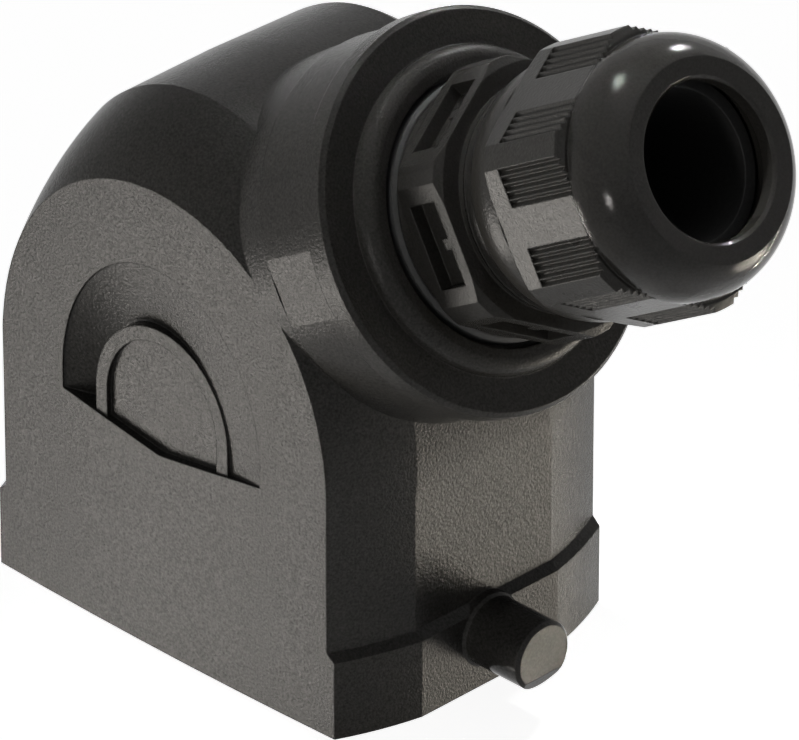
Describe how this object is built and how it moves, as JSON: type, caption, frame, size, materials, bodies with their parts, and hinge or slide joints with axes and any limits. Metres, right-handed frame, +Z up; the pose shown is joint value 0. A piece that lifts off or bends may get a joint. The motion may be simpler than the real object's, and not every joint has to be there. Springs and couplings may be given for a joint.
{
  "type": "heavy duty rectangular connector hood",
  "caption": "Rectangular industrial connector: arched plastic hood with locking pegs, slanted cable gland with a clamping cap nut, and a pin contact insert inside.",
  "frame": {"origin": "centre of the hood's mating rim, in the plane of the rim", "axes": "+Z up into the hood, away from the mating half; +X towards the slanted cable entry; the arched faces look along -Y and +Y"},
  "size_m": [0.1069, 0.0452, 0.0894],
  "materials": {
    "housing_plastic": "fine moulded grain",
    "adapter_plastic": "fine moulded grain",
    "gland_plastic": "satin moulded",
    "nut_plastic": "glossy dome, satin flats",
    "insert_plastic": "satin moulded",
    "seal_rubber": "matt",
    "contact_metal": "silver plated",
    "screw_steel": "zinc plated",
    "earth_steel": "zinc plated"
  },
  "bodies": {
    "housing": {"hood_shell": "housing_plastic", "entry_adapter": "adapter_plastic", "entry_o_ring": "seal_rubber", "gland_washer": "seal_rubber", "gland_body": "gland_plastic", "insert_body": "insert_plastic", "terminal_screws": "screw_steel", "fixing_screws": "screw_steel", "earth_plate_left": "earth_steel", "earth_plate_right": "earth_steel", "earth_washers": "screw_steel", "earth_screws": "screw_steel", "contact_1": "contact_metal", "contact_2": "contact_metal", "contact_3": "contact_metal", "contact_4": "contact_metal", "contact_5": "contact_metal", "contact_6": "contact_metal"},
    "seal_set": {"clamping_cage": "gland_plastic", "sealing_grommet": "seal_rubber"},
    "cap": {"cap_nut": "nut_plastic"}
  },
  "joints": [
    {"name": "seal_travel", "type": "slide", "parent": "housing", "child": "seal_set", "axis": [0.866, 0, 0.5], "range_m": [0, 0.006]},
    {"name": "cap_turn", "type": "hinge", "parent": "seal_set", "child": "cap", "pos_m": [0.05196, 0, 0.0726], "axis": [0.866, 0, 0.5], "range_deg": [0, 1440]}
  ],
  "couplings": [
    {"joint": "seal_travel", "follows": "cap_turn", "m_per_rad": 0.00023873}
  ]
}
